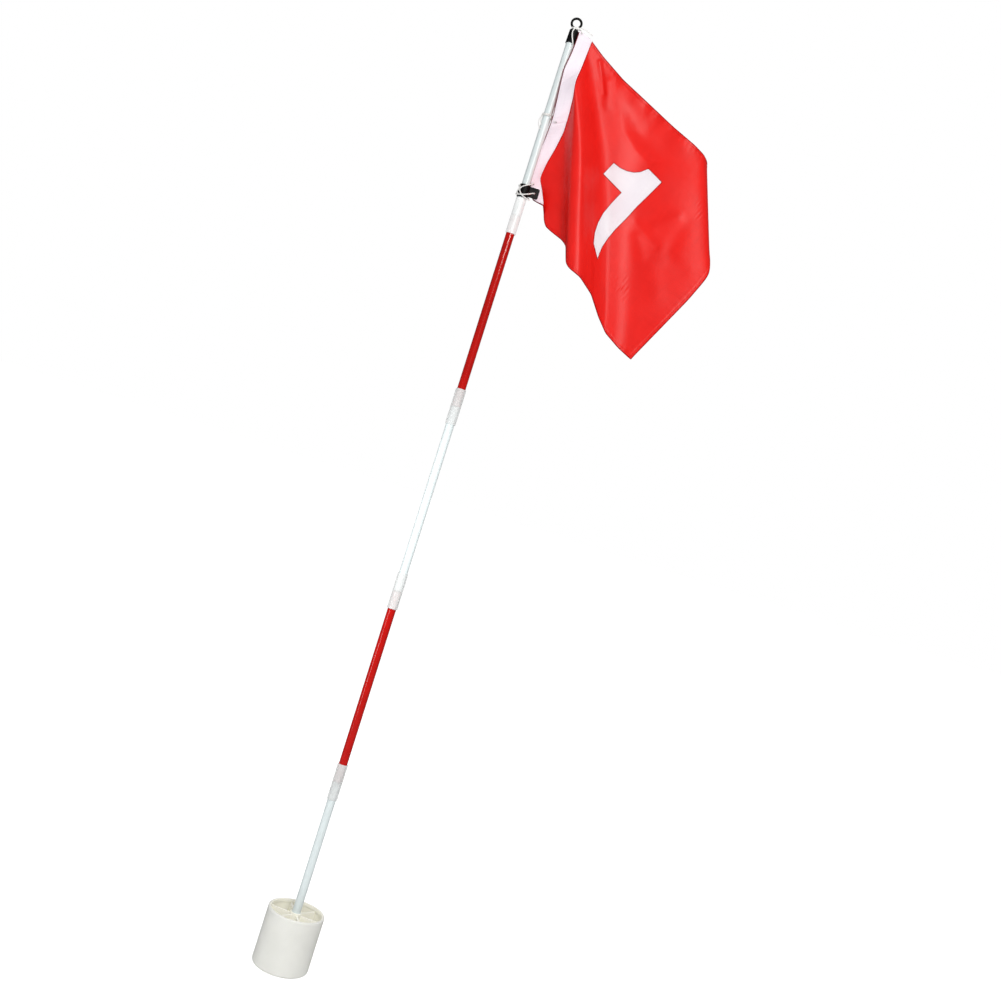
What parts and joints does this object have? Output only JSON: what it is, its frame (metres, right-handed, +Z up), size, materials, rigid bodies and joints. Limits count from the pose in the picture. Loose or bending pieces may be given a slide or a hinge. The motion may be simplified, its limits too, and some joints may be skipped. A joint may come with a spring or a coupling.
{
  "type": "golf flagstick",
  "caption": "Sectional golf flagstick: striped pole in a ribbed hole cup, with a small tied flag, joining sleeves and an eye-topped cap.",
  "frame": {"origin": "centre of the cup's bottom face, on the pole's axis", "axes": "+Z up the pole, +X from the pole towards the flag's free end, -Y towards the face of the flag that shows first"},
  "size_m": [0.4361, 0.1646, 1.8528],
  "materials": {
    "cup_white": "moulded, soft satin",
    "tube_white": "smooth gloss",
    "tube_red": "smooth gloss",
    "sleeve_white": "translucent milky",
    "black_plastic": "moulded satin",
    "flag_red": "satin woven",
    "header_white": "plain woven band",
    "numeral_white": "applied cloth",
    "cord_white": "braided cord",
    "eyelet_white": "moulded"
  },
  "bodies": {
    "cup": {"cup_shell": "cup_white", "cup_spider": "cup_white"},
    "section_1": {"pole_foot_plug": "cup_white", "pole_tube_1": "tube_white", "sleeve_1": "sleeve_white"},
    "section_2": {"pole_tube_2": "tube_red", "sleeve_2": "sleeve_white"},
    "section_3": {"pole_tube_3": "tube_white", "sleeve_3": "sleeve_white"},
    "section_4": {"pole_tube_4": "tube_red", "sleeve_4": "sleeve_white"},
    "section_5": {"pole_tube_5": "tube_white", "top_cap": "black_plastic"},
    "flag": {"flag_clip": "black_plastic", "flag_field": "flag_red", "flag_header": "header_white", "header_eyelets": "eyelet_white", "numeral_front": "numeral_white", "numeral_back": "numeral_white", "tie_top": "cord_white", "tie_middle": "cord_white", "tie_bottom": "cord_white"}
  },
  "joints": [
    {"name": "pole_lift", "type": "slide", "parent": "cup", "child": "section_1", "axis": [0, 0, 1], "range_m": [0, 0.0965]},
    {"name": "section_2_pull", "type": "slide", "parent": "section_1", "child": "section_2", "axis": [0, 0, 1], "range_m": [0, 0.032]},
    {"name": "section_3_pull", "type": "slide", "parent": "section_2", "child": "section_3", "axis": [0, 0, 1], "range_m": [0, 0.032]},
    {"name": "section_4_pull", "type": "slide", "parent": "section_3", "child": "section_4", "axis": [0, 0, 1], "range_m": [0, 0.032]},
    {"name": "section_5_pull", "type": "slide", "parent": "section_4", "child": "section_5", "axis": [0, 0, 1], "range_m": [0, 0.032]},
    {"name": "flag_swing", "type": "hinge", "parent": "section_5", "child": "flag", "pos_m": [0, 0, 1.66], "axis": [0, 0, 1], "continuous": true}
  ]
}
